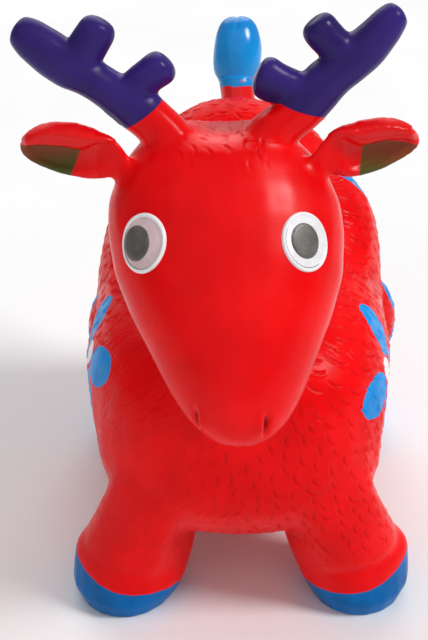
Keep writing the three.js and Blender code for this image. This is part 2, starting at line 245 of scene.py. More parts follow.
POLL_HEIGHTS = (414 * MM, 424 * MM)
POLL_FRONT = (-182 * MM, -168 * MM)
POLL_SIDES = (28 * MM, 38 * MM)
HEAD_MIDDLE = -15 * MM

# Painted marks on the tail, the hooves and the ears
PAINT_EDGE = 0.4 * MM
TAIL_PAINT_POINT = Vector((0, 228.1, 358.2)) * MM
TAIL_PAINT_NORMAL = Vector((0, 0.339, 0.941))
TAIL_WAVE = 5 * MM
TAIL_WAVE_SIZE = 12 * MM
SMEAR_HEIGHT = 371 * MM
SMEAR_HALF = (2.2 * MM, 0.8 * MM)
SMEAR_SIDE = (1 * MM, 5 * MM)
SMEAR_SIZE = 5 * MM
SMEAR_FLECKS = (0.5, 0.56, 0, 0.8)
HOOF_MIDDLE = 97 * MM
HOOF_PAINT_HEIGHT = 29.5 * MM
HOOF_PAINT_SLOPE = 0.15
HOOF_PAINT_RISE = 4.5
EAR_LEVEL = 418 * MM
EAR_PAINT = {"left": (87.1 * MM, -0.13), "right": (115.2 * MM, 0.42)}
EAR_PAINT_EDGE = 1.2 * MM
EAR_PAINT_TOP = (EAR_RIDGE + 0.02, EAR_RIDGE - 0.02)
EAR_PAINT_FRONT = (0.05, 0.3)
BROWN_SIZE = 22 * MM
BROWN_NOISE = 0.5
BROWN_START = -0.55
BROWN_ACROSS = 0.9
BROWN_REACH = 0.55
BROWN_RANGE = (0, 0.5)

# Paint lines of the antlers: x and z of a point in millimetres, then the way across and up to the paint
ANTLER_PAINT = {
    "left": ((42.7, 452, 0.335, 0.94), (26, 452, -0.85, 0.53)),
    "right": ((-61.4, 452.6, -0.58, 0.81),),
}
EAR_CLEARANCE = (80, 434, -0.31, 0.95)
TINE_LEVEL = 456

# Flowers: y and z of each in millimetres, and the angle of the petal that is left out
FLOWERS = {
    "left": ((-92, 213, 117), (128, 268, 180), (150, 140, 54)),
    "right": ((-70, 218, 99), (142, 262, 180), (150, 140, 54)),
}
PETALS = 5
PETAL_DISTANCE = 34 * MM
PETAL_LENGTH = 45 * MM
PETAL_WIDTH = 32 * MM
PETAL_EDGE = 0.04
PETAL_WOBBLE = 3 * MM
WOBBLE_SIZE = 14 * MM
FLOWER_CENTRE = 10 * MM
CENTRE_EDGE = 0.3 * MM
FLANK = 55 * MM

# Eyes, in shares of the radius and millimetres above the skin
EYE_WIDTH = 37.5 * MM
EYE_HEIGHT = 42 * MM
PUPIL_WIDTH = 22.5 * MM
PUPIL_HEIGHT = 25 * MM
EYE_ROLL = math.radians(14)
EYE_DISH = 1.2
EYE_PROFILE = (
    (0, EYE_DISH), (0.25, EYE_DISH), (0.5, EYE_DISH), (0.7, EYE_DISH), (0.84, EYE_DISH),
    (0.865, 1.25), (0.885, 1.6), (0.91, 1.95), (0.94, 2.05), (0.97, 1.8), (0.99, 1.2),
    (1, 0.4), (1, -0.8), (0.6, -0.8), (0, -0.8),
)
PUPIL_PROFILE = (
    (0, 0.75), (0.4, 0.75), (0.75, 0.72), (0.9, 0.6), (0.97, 0.35), (1, 0),
    (1, -0.6), (0.5, -0.6), (0, -0.6),
)
ROUND_STEPS = 72
ROUND_MERGE = 0.001 * MM
RAY_START = 30 * MM
EYE_RIM = (0.84, 0.88)
# A thin line of painted shade inside the rim, on the eye's lower side only
EYE_SHADE_LINE_INSIDE = (0.845, 0.86)
EYE_SHADE_LINE_OUTSIDE = (0.885, 0.87)
EYE_SHADE_LINE_LOW = (-0.1, -0.5)
EYE_MOTTLE = 9 * MM
PUPIL_SPECK = 0.8 * MM
PUPIL_SPECK_RANGE = (0.2, 0.8)
PUPIL_PATCH = 16 * MM
PUPIL_PATCH_RANGE = (0.2, 1)

# Air valve, with profiles in millimetres in from a rim, or out from the shank, and up
COLLAR_SLEEVE = 13 * MM
COLLAR_ROUND = 0.6 * MM
FLANGE_PROFILE = ((1.6, 0), (0.5, 0.3), (0, 1.1), (0.5, 1.9), (1.6, 2.2))
FLANGE_SHOULDER = 2.4 * MM
PLUG_HEAD = 11 * MM
PLUG_HEAD_PROFILE = ((1, 0), (0.3, 0.3), (0, 1), (0, 2.4), (0.6, 3))
PLUG_HEAD_DEPTH = 3 * MM
PLUG_SHANK = 5.2 * MM
PLUG_POINT = 1.5 * MM
PLUG_RIBS = 3
RIB_PROFILE = ((0, -1.2), (0.8, -0.6), (0.8, 0), (0, 1.2))
FIRST_RIB = 0.8
TAB_HEIGHT = 10 * MM
TAB_SIZE = Vector((14, 3, 10.4)) * MM
TAB_ROUND = 1.2 * MM
TAB_ROUND_STEPS = 3
VALVE_MOTTLE = 8 * MM

# Camera, from the photograph's 428 x 640 frame
IMAGE_HEIGHT = 640
FOCAL_PIXELS = 1150
CAMERA_PLACE = Vector((-0.4, -919.5, 700)) * MM
CAMERA_DOWN = math.radians(28)
CAMERA_TURN = math.radians(1.42)
CAMERA_ROLL = math.radians(-1.0)

# Studio: each soft light's place, strength and spread in degrees, and the floor
LIGHTS = {
    "key": ((1.5, -0.5, 1.6), 1.95, 18),
    "front": ((-0.3, -1.7, 1.3), 0.5, 80),
    "back": ((-0.2, 1.6, 1.5), 1.3, 60),
}
SKY_STRENGTH = 0.3
FLOOR_HALF = 6
FLOOR_SQUARES = 8
FLOOR_MOTTLE = 500 * MM


def smooth_step(value, low, high):
    """0 below low, 1 above high, with an eased ramp between."""
    share = np.clip((value - low) / (high - low), 0, 1)
    return share * share * (3 - 2 * share)


def points_of(mesh):
    flat = np.empty(len(mesh.vertices) * 3, np.float32)
    mesh.vertices.foreach_get("co", flat)
    return flat.reshape(-1, 3).astype(float)


def normals_of(mesh):
    flat = np.empty(len(mesh.vertices) * 3, np.float32)
    mesh.vertex_normals.foreach_get("vector", flat)
    return flat.reshape(-1, 3).astype(float)


def edges_of(mesh):
    flat = np.empty(len(mesh.edges) * 2, np.int32)
    mesh.edges.foreach_get("vertices", flat)
    return flat.reshape(-1, 2)


def face_middles(mesh):
    flat = np.empty(len(mesh.polygons) * 3, np.float32)
    mesh.polygons.foreach_get("center", flat)
    return flat.reshape(-1, 3).astype(float)


def set_points(mesh, points):
    mesh.vertices.foreach_set("co", points.astype(np.float32).ravel())
    mesh.update()


def store(mesh, name, kind, values):
    """Keeps a value for each point of the mesh under that name."""
    field = {"FLOAT": "value", "FLOAT_VECTOR": "vector"}[kind]
    mesh.attributes.new(name, kind, "POINT")
    mesh.attributes[name].data.foreach_set(field, values.astype(np.float32).ravel())


def shown(name, mesh):
    thing = bpy.data.objects.new(name, mesh)
    bpy.context.scene.collection.objects.link(thing)
    return thing


def mesh_from(shape, name):
    """The finished bmesh as a mesh with smooth faces."""
    mesh = bpy.data.meshes.new(name)
    shape.to_mesh(mesh)
    shape.free()
    mesh.shade_smooth()
    return mesh


def bake_modifiers(thing):
    """Puts the modifiers' result into the mesh itself."""
    depsgraph = bpy.context.evaluated_depsgraph_get()
    mesh = bpy.data.meshes.new_from_object(thing.evaluated_get(depsgraph))
    thing.modifiers.clear()
    thing.data = mesh
    mesh.shade_smooth()


def middle_of(node):
    low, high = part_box(node)
    return (low + high) / 2


def inside_box(points, node, margin):
    low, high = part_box(node)
    above = (points > np.array(low) - margin).all(1)
    return above & (points < np.array(high) + margin).all(1)


# One skin over every inflated solid

def on_grid(shape, name, grid):
    """The outer surface of everything in the bmesh, as one skin on an even grid of faces."""
    bmesh.ops.remove_doubles(shape, verts=shape.verts, dist=MERGE_DISTANCE)
    thing = shown(name, mesh_from(shape, name))
    remesh = thing.modifiers.new("grid", "REMESH")
    remesh.mode = "VOXEL"
    remesh.voxel_size = grid
    bake_modifiers(thing)
    return thing


class Moulding:
    """A mesh's points, moved by smoothing, by filling creases and by raising them."""

    def __init__(self, thing):
        self.thing = thing
        self.mesh = thing.data
        self.points = points_of(self.mesh)
        self.edges = edges_of(self.mesh)
        ends = self.edges.ravel()
        self.valence = np.bincount(ends, minlength=len(self.points)).astype(float)

    def normals(self):
        set_points(self.mesh, self.points)
        return normals_of(self.mesh)

    def smoothed(self, values, passes):
        """The values after each has moved towards its neighbours' mean, by the group's weights."""
        set_points(self.mesh, values)
        smoother = self.thing.modifiers.new("smoother", "SMOOTH")
        smoother.factor = SMOOTH_STEP
        smoother.iterations = passes
        smoother.vertex_group = "softness"
        depsgraph = bpy.context.evaluated_depsgraph_get()
        result = points_of(self.thing.evaluated_get(depsgraph).data)
        self.thing.modifiers.remove(smoother)
        return result

    def soften(self, passes, strength):
        """Takes facets and grid steps away, then puts back the volume that this lost."""
        group = self.thing.vertex_groups.new(name="softness")
        levels = np.round(strength * WEIGHT_LEVELS).astype(int)
        for level in np.unique(levels):
            members = np.flatnonzero(levels == level).tolist()
            group.add(members, level / WEIGHT_LEVELS, "REPLACE")
        before = self.points
        self.points = self.smoothed(before, passes)
        self.points = self.points + self.smoothed(before - self.points, passes)
        self.thing.vertex_groups.remove(group)
        set_points(self.mesh, self.points)

    def outward_pull(self, edges, normals):
        """How far each point lies below the mean of its neighbours, along its normal."""
        first, second = edges.T
        below = np.zeros(len(self.points))
        for axis in range(3):
            along = self.points[:, axis]
            total = np.bincount(first, along[second], len(along))
            total += np.bincount(second, along[first], len(along))
            below += (total / self.valence - along) * normals[:, axis]
        return below

    def fill_creases(self, passes, strength):
        """Fills sharp hollows where limbs meet, and leaves what bulges as it is."""
        normals = self.normals()
        active = self.outward_pull(self.edges, normals) > CREASE_DEPTH
        first, second = self.edges.T
        for _ in range(CREASE_REACH):
            touched = active[first] | active[second]
            active[first[touched]] = True
            active[second[touched]] = True
        edges = self.edges[active[first] | active[second]]
        inner = active & (strength > 0)
        for turn in range(passes):
            if turn % NORMALS_EVERY == 0:
                normals = self.normals()
            rise = np.maximum(self.outward_pull(edges, normals), 0)
            rise[~inner] = 0
            self.points += (SMOOTH_STEP * strength * rise)[:, None] * normals

    def raise_by(self, heights):
        self.points += heights[:, None] * self.normals()


def hinge_point(joint):
    return np.array(joints[joint]["pos_m"])


def flex_points():
    """The point that each limb bends about, by node name."""
    found = {name: hinge_point(f"{name}_bend") for name in ANTLERS}
    found.update({name: hinge_point(f"{name}_flap") for name in EARS})
    found["tail_stem"] = hinge_point("tail_wag")
    return found


FLEX = flex_points()


def softness(points, ear_share):
    """How much of the smoothing each point takes: all on the body, less on the slim limbs."""
    strength = np.ones(len(points))
    for names, kind, share in ((ANTLERS, "antler", ANTLER_SHARE), (EARS, "ear", ear_share)):
        for name in names:
            away = np.linalg.norm(points - FLEX[name], axis=1)
            near = inside_box(points, name, SLIM_MARGIN)
            fade = smooth_step(away, *[LIMB_BALL[kind] + past for past in ROOT_FADE])
            strength[near] = 1 + fade[near] * (share - 1)
    hoof = 1 - smooth_step(points[:, 2], *HOOF_FADE)
    return strength * (1 + hoof * (HOOF_SHARE - 1))


def nearest_node(points, names):
    """For each point, the index among the named CAD solids of the one it lies on."""
    near = np.array([inside_box(points, name, NODE_MARGIN) for name in names])
    owner = near.argmax(0)
    doubtful = near.sum(0) > 1
    places = points.tolist()
    best = np.full(len(points), np.inf)
    for index, name in enumerate(names):
        shape = bmesh.new()
        shape.from_mesh(frame["nodes"][name].data)
        tree = BVHTree.FromBMesh(shape)
        shape.free()
        for spot in np.flatnonzero(near[index] & doubtful).tolist():
            distance = tree.find_nearest(places[spot])[3]
            if distance < best[spot]:
                best[spot] = distance
                owner[spot] = index
    return owner


def leg_fill(points):
    """Where the legs run smoothly into the body: in front and outside, not inside the arch."""
    out = np.abs(points[:, 0])
    outside = smooth_step(out, *FILL_OUTSIDE)
    front = smooth_step(-points[:, 1], *FILL_FRONT) * smooth_step(out, *FILL_FRONT_OUT)
    neck = NECK_FILL * smooth_step(points[:, 2], *FILL_NECK)
    most = np.maximum(np.maximum(outside, front), np.maximum(neck, LEAST_FILL))
    return smooth_step(points[:, 2], *FILL_HOOF) * most


def between(values, low, high):
    return (values > low) & (values < high)


def chest_pad(points, sign):
    """A full front from the chest straight down to one front foot."""
    out = points[:, 0] * sign
    y, z = points[:, 1:].T
    chest = between(out, PAD_INSIDE, PAD_CHEST) & (y < PAD_CHEST_FRONT) & between(z, *PAD_CHEST_HEIGHTS)
    foot = between(out, PAD_INSIDE, PAD_FOOT) & (y < PAD_FOOT_FRONT) & between(z, *PAD_FOOT_HEIGHTS)
    pad = bmesh.new()
    for point in points[chest | foot]:
        pad.verts.new(point)
    hull = bmesh.ops.convex_hull(pad, input=pad.verts)
    loose = {vert for vert in hull["geom_interior"] if isinstance(vert, bmesh.types.BMVert)}
    bmesh.ops.delete(pad, geom=list(loose), context="VERTS")
    return mesh_from(pad, "chest_pad")


def body_filler():
    """The body and legs with deep, soft fillets where they meet."""
    blank = bmesh.new()
    for name in ["torso", "neck", *LEGS, *HOOVES]:
        blank.from_mesh(frame["nodes"][name].data)
    thing = on_grid(blank, "rough_filler", FILLER_GRID)
    points = points_of(thing.data)
    blank = bmesh.new()
    blank.from_mesh(thing.data)
    bpy.data.objects.remove(thing)
    for sign in SIDES.values():
        blank.from_mesh(chest_pad(points, sign))
    thing = on_grid(blank, "filler", FILLER_GRID)
    filler = Moulding(thing)
    filler.fill_creases(FILLER_PASSES, leg_fill(filler.points))
    filler.raise_by(np.full(len(filler.points), -FILLER_SINK))
    set_points(thing.data, filler.points)
    return thing


def fused_skin():
    """One closed outer skin over the inflated solids, their fillets and a stopper in the valve."""
    blank = bmesh.new()
    for name in SKIN_NODES:
        blank.from_mesh(frame["nodes"][name].data)
    bmesh.ops.remove_doubles(blank, verts=blank.verts, dist=MERGE_DISTANCE)
    filler = body_filler()
    blank.from_mesh(filler.data)
    bpy.data.objects.remove(filler)
    stopper = middle_of("valve_collar")
    stopper.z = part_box("valve_collar")[0].z + STOPPER_LIFT
    bmesh.ops.create_cone(
        blank, cap_ends=True, segments=STOPPER_SIDES, radius1=STOPPER_RADIUS, radius2=STOPPER_RADIUS,
        depth=STOPPER_DEPTH, matrix=Matrix.Translation(stopper),
    )
    return on_grid(blank, "skin", SKIN_GRID)


skin = fused_skin()
moulding = Moulding(skin)
moulding.soften(STEP_PASSES, softness(moulding.points, EAR_SHARE))
moulding.fill_creases(CREASE_PASSES, softness(moulding.points, 0))
moulding.soften(FACET_PASSES, softness(moulding.points, EAR_SHARE))

# Moulded details

def bell(distance, width):
    """1 at no distance, fading to nothing past about twice the width."""
    return np.exp(-((distance / width) ** 2))


def pull(points):
    """The soft pulls, each fading out to its reach."""
    for place, reach, move in PULLS.values():
        away = np.linalg.norm((points / MM - np.array(place)) / np.array(reach), axis=1)
        share = np.clip(1 - away * away, 0, 1) ** 2
        points = points + share[:, None] * np.array(move) * MM
    return points


def swell(points):
    """The antlers and the egg of the tail, a little fuller than their solids."""
    heights = np.zeros(len(points))
    for name in ANTLERS:
        away = np.linalg.norm(points - FLEX[name], axis=1)
        fade = smooth_step(away, *SWELL_FADE)
        heights += ANTLER_SWELL * fade * inside_box(points, name, LIMB_MARGIN)
    tail = inside_box(points, "tail_bulb", LIMB_MARGIN)
    return heights + TAIL_SWELL * tail * smooth_step(points[:, 2], *TAIL_SWELL_HEIGHTS)


def ankle_rings(points):
    """A soft groove round the outside of each leg above its hoof, over a faint swelling."""
    out = np.abs(points[:, 0])
    drop = points[:, 2] - (ANKLE_HEIGHT + ANKLE_SLOPE * (out - ANKLE_INNER))
    away = np.full(len(points), np.inf)
    for name in HOOVES:
        foot = np.array(middle_of(name))[:2]
        away = np.minimum(away, np.linalg.norm(points[:, :2] - foot, axis=1))
    share = 1 - smooth_step(away, ANKLE_REACH - ANKLE_FADE, ANKLE_REACH)
    share *= smooth_step(out, *ANKLE_OUTSIDE)
    share *= np.where(points[:, 0] > 0, ANKLE_DEPTH["left"], ANKLE_DEPTH["right"])
    swelling = ANKLE_SWELL * bell(drop + ANKLE_SWELL_DROP, ANKLE_SWELL_WIDTH)
    return share * (swelling - bell(drop, ANKLE_WIDTH))


def nostril_axes():
    """Each nostril's place, and its directions down along the slit and inwards across it."""
    for place in NOSTRIL_PLACES:
        inward = -math.copysign(1, place.x)
        along = Vector((NOSTRIL_SLANT * inward, NOSTRIL_LEAN, -1)).normalized()
        across = Vector((inward, -NOSTRIL_FACING, 0)).normalized()
        yield place, along, across


def nostrils(points):
    """A slanted slit on each side of the muzzle, with a raised inner lip."""
    heights = np.zeros(len(points))
    for place, along, across in nostril_axes():
        offset = points - np.array(place)
        down = offset @ np.array(along)
        side = offset @ np.array(across)
        near = np.linalg.norm(offset, axis=1) < 2 * NOSTRIL_LENGTH
        span = bell(down, NOSTRIL_LENGTH / 2) * near
        heights -= NOSTRIL_DEPTH * span * bell(side, NOSTRIL_WIDTH)
        heights += NOSTRIL_LIP * span * bell(side - NOSTRIL_LIP_SHIFT, NOSTRIL_LIP_WIDTH)
    return heights


def ear_axes(name):
    """An ear's directions: out along it, up across it, and to its front."""
    sign = SIDES[name.split("_")[1]]
    out = Vector((sign, EAR_SWEEP, EAR_LIFT)).normalized()
    up = (Vector((0, 0, 1)) - out.z * out).normalized()
    front = out.cross(up) * sign
    return np.array(out), np.array(up), np.array(front)


def ear_offsets(points, name):
    """How far along an ear each point lies, from 0 to 1, and how high above its middle."""
    out, up = ear_axes(name)[:2]
    low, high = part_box(name)
    offset = points - np.array((low + high) / 2)
    return offset @ out / (high.x - low.x) + 0.5, offset @ up


def ear_edge_curves(name):
    """Smooth curves along an ear for the heights of its lower and upper edges."""
    reach, height = ear_offsets(points_of(frame["nodes"][name].data), name)
    stations = np.linspace(*EAR_SPAN, EAR_STATIONS)
    lower = []
    upper = []
    for station in stations:
        beside = np.abs(reach - station) < EAR_SLICE
        lower.append(height[beside].min())
        upper.append(height[beside].max())
    return [np.polyfit(stations, edge, EAR_CURVE_DEGREE) for edge in (lower, upper)]


ear_edges = {name: ear_edge_curves(name) for name in EARS}


def ear_place(points, name):
    """How far along an ear and up across it each point lies, from 0 to 1."""
    reach, height = ear_offsets(points, name)
    near = inside_box(points, name, NODE_MARGIN)
    bottom, top = ear_edges[name]
    bottom = np.polyval(bottom, reach)
    top = np.polyval(top, reach)
    return near, reach, (height - bottom) / np.maximum(top - bottom, EAR_LEAST_WIDTH)


def ear_ridge(reach):
    """How far up across the ear its rolled band starts: higher towards the root."""
    return EAR_RIDGE + EAR_RIDGE_RISE * (1 - smooth_step(reach, *EAR_RIDGE_FALL))


def ear_fold(points, normals):
    """A rolled upper band on each ear over a hollow front."""
    moved = np.zeros_like(points)
    for name in EARS:
        front = ear_axes(name)[2]
        near, reach, across = ear_place(points, name)
        facing = smooth_step(normals @ front, *EAR_FRONT) * near
        over = across - ear_ridge(reach)
        tip = 1 - smooth_step(reach, *EAR_TIP)
        hollow = smooth_step(across, *HOLLOW_FOOT) * (1 - smooth_step(over, *HOLLOW_TOP))
        hollow *= tip * smooth_step(reach, *HOLLOW_ROOT)
        band = smooth_step(over, *BAND_FOOT) * (1 - smooth_step(across, *BAND_TOP))
        band *= tip * smooth_step(reach, *BAND_ROOT)
        moved += (facing * (EAR_BAND * band - EAR_HOLLOW * hollow))[:, None] * front
    return moved


def tail_notch(points):
    """A small cleft across the tip of the tail."""
    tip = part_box("tail_bulb")[1].z
    near = inside_box(points, "tail_bulb", LIMB_MARGIN)
    near = near * smooth_step(points[:, 2], *[tip - below for below in TAIL_NOTCH_RUN])
    return -TAIL_NOTCH * near * bell(points[:, 0] + TAIL_NOTCH_SHIFT, TAIL_NOTCH_WIDTH)


def fur_share(points):
    """1 where the skin has moulded fur: the body, neck, poll and upper legs."""
    x, y, z = points.T
    share = smooth_step(z, *FUR_FOOT)
    bodies = ["torso", "neck", "head"]
    on_head = nearest_node(points, bodies) == bodies.index("head")
    poll = smooth_step(z, *POLL_HEIGHTS) * smooth_step(y, *POLL_FRONT)
    poll *= 1 - smooth_step(np.abs(x - HEAD_MIDDLE), *POLL_SIDES)
    share = np.where(on_head, poll, share)
    worn = smooth_step(-x, *WORN_SIDE) * smooth_step(-y, *WORN_FRONT)
    share *= 1 - FUR_WEAR * worn
    for name in FLEX:
        away = np.linalg.norm(points - FLEX[name], axis=1)
        share *= smooth_step(away, *FUR_ROOT)
    for name in [*FLEX, "tail_bulb"]:
        share[inside_box(points, name, NODE_MARGIN)] = 0
    return share


def fur_flow(place, normal):
    """The way the moulded hair lies: down, back and away from the middle, but forward on the poll."""
    sideways = place[0] / (abs(place[0]) + FUR_PARTING)
    spread, back, down = FUR_FLOW
    flow = Vector((spread * sideways, back, down))
    if place[1] < POLL_BACK and place[2] > POLL_FOOT:
        flow = POLL_FLOW.copy()
    flow -= flow.dot(normal) * normal
    return flow.normalized()


def fur_strokes(points, normals):
    """Short bowed grooves with a raised lip, scattered evenly over the furred skin."""
    rng = np.random.default_rng(FUR_SEED)
    tree = KDTree(len(points))
    for index, point in enumerate(points.tolist()):
        tree.insert(point, index)
    tree.balance()
    share = fur_share(points)
    heights = np.zeros(len(points))
    taken = np.zeros(len(points), bool)
    for spot in rng.choice(np.flatnonzero(share > FUR_LEAST), FUR_TRIES):
        spacing = FUR_SPACING * rng.uniform(*FUR_SPREAD)
        turn = rng.normal(0, FUR_TURN)
        length = rng.uniform(*FUR_LENGTH)
        if taken[spot]:
            continue
        place = points[spot]
        normal = Vector(normals[spot])
        along = Matrix.Rotation(turn, 3, normal) @ fur_flow(place, normal)
        across = normal.cross(along)
        near = np.array([found[1] for found in tree.find_range(place, spacing)])
        taken[near] = True
        offset = points[near] - place
        down = offset @ np.array(along) / length
        side = offset @ np.array(across)
        side -= math.copysign(FUR_BOW, place[0]) * length * (2 * down) ** 2
        span = np.clip(1 - (2 * down) ** 2, 0, 1) * share[near]
        lip = side + math.copysign(FUR_LIP_SHIFT, place[0])
        heights[near] += FUR_LIP * span * bell(lip, FUR_LIP_WIDTH)
        heights[near] -= FUR_DEPTH * span * bell(side, FUR_WIDTH)
    return heights


before_details = face_middles(skin.data)
moulding.points += ear_fold(moulding.points, moulding.normals())
moulding.raise_by(swell(moulding.points))
moulding.raise_by(ankle_rings(moulding.points))
moulding.raise_by(nostrils(moulding.points))
moulding.raise_by(tail_notch(moulding.points))
moulding.points = pull(moulding.points)
set_points(skin.data, moulding.points)
smooth_surface = BVHTree.FromObject(skin, bpy.context.evaluated_depsgraph_get())
fur = fur_strokes(moulding.points, moulding.normals())
moulding.raise_by(fur)
store(skin.data, "fur_groove", "FLOAT", np.clip(-fur / FUR_DEPTH, 0, 1))
moulding.points[:, 2] = np.maximum(moulding.points[:, 2], 0)

# Pieces of the skin, cut where the limbs bend

SKIN_PIECES = [
    "torso_chest", "torso_back", "torso_belly", "neck", "head", "tail_stem", "tail_bulb",
    *LEGS, *HOOVES, *ANTLERS, *EARS,
]


def piece_of_faces(middles, moved):
    """For each face, the index in SKIN_PIECES of the piece that it goes to."""
    bodies = ["torso", "neck", "head", *LEGS]
    names = np.array(bodies, object)[nearest_node(middles, bodies)]
    high = middles[:, 2] > PARTING_HEIGHT
    torso = names == "torso"
    front = middles[:, 1] < CHEST_BACK
    names[torso & high] = "torso_back"
    names[torso & ~high] = "torso_belly"
    names[torso & front] = "torso_chest"
    for corner in CORNERS:
        foot = middle_of(f"hoof_{corner}")
        near = np.linalg.norm(middles[:, :2] - np.array(foot)[:2], axis=1) < HOOF_REACH
        names[near & (middles[:, 2] < HOOF_SPLIT)] = f"hoof_{corner}"
    limbs = [*ANTLERS, *EARS]
    limb = np.array(limbs, object)[nearest_node(middles, limbs)]
    for name in limbs:
        away = np.linalg.norm(middles - FLEX[name], axis=1)
        beyond = away > LIMB_BALL[name.split("_")[0]]
        names[beyond & inside_box(middles, name, NODE_MARGIN) & (limb == name)] = name
    axis = np.array(TAIL_PAINT_NORMAL)
    offset = moved - FLEX["tail_stem"]
    up = offset @ axis
    aside = np.linalg.norm(offset - up[:, None] * axis, axis=1)
    tail = (up > TAIL_CUT) & (aside < TAIL_REACH)
    above = (moved - np.array(TAIL_PAINT_POINT)) @ axis > TAIL_SEAM
    names[tail & ~above] = "tail_stem"
    names[tail & above] = "tail_bulb"
    return np.array([SKIN_PIECES.index(name) for name in names], np.int32)


def open_edges(shape):
    return [edge for edge in shape.edges if edge.is_boundary]


def match_neighbours(faces):
    """Turns each new face the same way as the faces that it was built on."""
    fresh = set(faces)
    for face in faces:
        fresh.discard(face)
        for corner in face.loops:
            beside = corner.link_loop_radial_next
            if beside.face not in fresh and beside.face != face:
                if beside.vert == corner.vert:
                    face.normal_flip()
                break


def close_cut(thing):
    """Turns the open edges of a piece inwards and closes them there, inside the toy."""
    shape = bmesh.new()
    shape.from_mesh(thing.data)
    normal = shape.verts.layers.float_vector["skin_normal"]
    turned = bmesh.ops.extrude_edge_only(shape, edges=open_edges(shape))["geom"]
    for vert in turned:
        if isinstance(vert, bmesh.types.BMVert):
            vert.co -= vert[normal] * CAP_DEPTH
    match_neighbours([face for face in turned if isinstance(face, bmesh.types.BMFace)])
    caps = bmesh.ops.holes_fill(shape, edges=open_edges(shape), sides=0)["faces"]
    match_neighbours(caps)
    bmesh.ops.triangulate(shape, faces=caps)
    shape.to_mesh(thing.data)
    shape.free()


def keep_normals(thing):
    """Shades the piece as part of the whole skin, so that no cut shows."""
    stored = thing.data.attributes["skin_normal"]
    flat = np.empty(len(thing.data.vertices) * 3, np.float32)
    stored.data.foreach_get("vector", flat)
    thing.data.normals_split_custom_set_from_vertices(flat.reshape(-1, 3).tolist())
    thing.data.attributes.remove(thing.data.attributes["skin_normal"])


def cut_skin():
    """Separates the skin into its named pieces."""
    mesh = skin.data
    store(mesh, "skin_normal", "FLOAT_VECTOR", moulding.normals())
    for name in SKIN_PIECES:
        mesh.materials.append(bpy.data.materials.new(name))
    mesh.polygons.foreach_set("material_index", piece_of_faces(before_details, face_middles(mesh)))
    bpy.ops.object.select_all(action="DESELECT")
    bpy.context.view_layer.objects.active = skin
    skin.select_set(True)
    bpy.ops.object.mode_set(mode="EDIT")
    bpy.ops.mesh.select_all(action="SELECT")
    bpy.ops.mesh.separate(type="MATERIAL")
    bpy.ops.object.mode_set(mode="OBJECT")
    cut = {}
    for thing in list(bpy.context.selected_objects):
        slot = thing.data.polygons[0].material_index
        name = thing.data.materials[slot].name
        thing.data.materials.clear()
        thing.name = name + "_skin"
        thing.data.name = thing.name
        close_cut(thing)
        keep_normals(thing)
        cut[name] = thing
    for name in SKIN_PIECES:
        bpy.data.materials.remove(bpy.data.materials[name])
    return cut


pieces = cut_skin()

# Colours, as they look in plain light, and darker or pinker copies that carry painted shade and a
# painted reflection

def linear(red, green, blue):
    """A screen colour of 0 to 255 as the shader's linear colour."""
    values = [channel / 255 for channel in (red, green, blue)]
    curve = [v / 12.92 if v <= 0.04045 else ((v + 0.055) / 1.055) ** 2.4 for v in values]
    return (*curve, 1)


RED = linear(240, 4, 10)
DEEP_RED = linear(224, 0, 5)
# Painted shade, for the fur grooves and the nostril slits
SHADE_RED = linear(168, 0, 4)
BLUE = linear(0, 150, 230)
DEEP_BLUE = linear(0, 130, 208)
# The hooves' blue, darker than the flowers' blue as painted shade
SHADED_HOOF_BLUE = linear(0, 110, 184)
DEEP_SHADED_HOOF_BLUE = linear(0, 90, 154)
PURPLE = linear(53, 34, 114)
DEEP_PURPLE = linear(42, 27, 92)
OLIVE = linear(70, 76, 18)
BROWN = linear(128, 58, 24)
WHITE = linear(236, 237, 239)
# Painted shade in each eye's dish, and on the right eye a pink painted reflection of the red skin
EYE_DISH_SHADE_COLOURS = {
    "left": (linear(236, 236, 238), linear(226, 222, 225)),
    "right": (linear(226, 200, 204), linear(214, 184, 188)),
}
PUPIL = linear(72, 66, 63)
PALE_PUPIL = linear(132, 127, 121)
# Painted shade for the line inside the eye's rim
EYE_SHADE_LINE = linear(96, 84, 82)
VALVE = linear(214, 214, 208)
DEEP_VALVE = linear(198, 197, 188)
FLOOR = linear(243, 243, 243)
DEEP_FLOOR = linear(239, 239, 240)

# Finishes: least and greatest roughness, shine, and depth of the moulded grain
COAT_GLOSS = (0.24, 0.38, 0.1, 0.12)
HEAD_GLOSS = (0.22, 0.36, 0.14, 0.12)
TAIL_GLOSS = (0.16, 0.26, 0.45, 0.12)
EAR_GLOSS = (0.24, 0.38, 0.25, 0.12)
EYE_GLOSS = (0.25, 0.36, 0.5, 0.06)
PUPIL_GLOSS = (0.28, 0.4, 0.5, 0.08)
VALVE_GLOSS = (0.4, 0.55, 0.5, 0.1)
FLOOR_GLOSS = (0.9, 1.0, 0.1, 0.02)
COLOUR_MOTTLE = 45 * MM
GLOSS_PATCH = 30 * MM
GRAIN_SIZE = 1.6 * MM
GRAIN_DEPTH = 0.3 * MM
NOISE_RANGE = (0.3, 0.7)


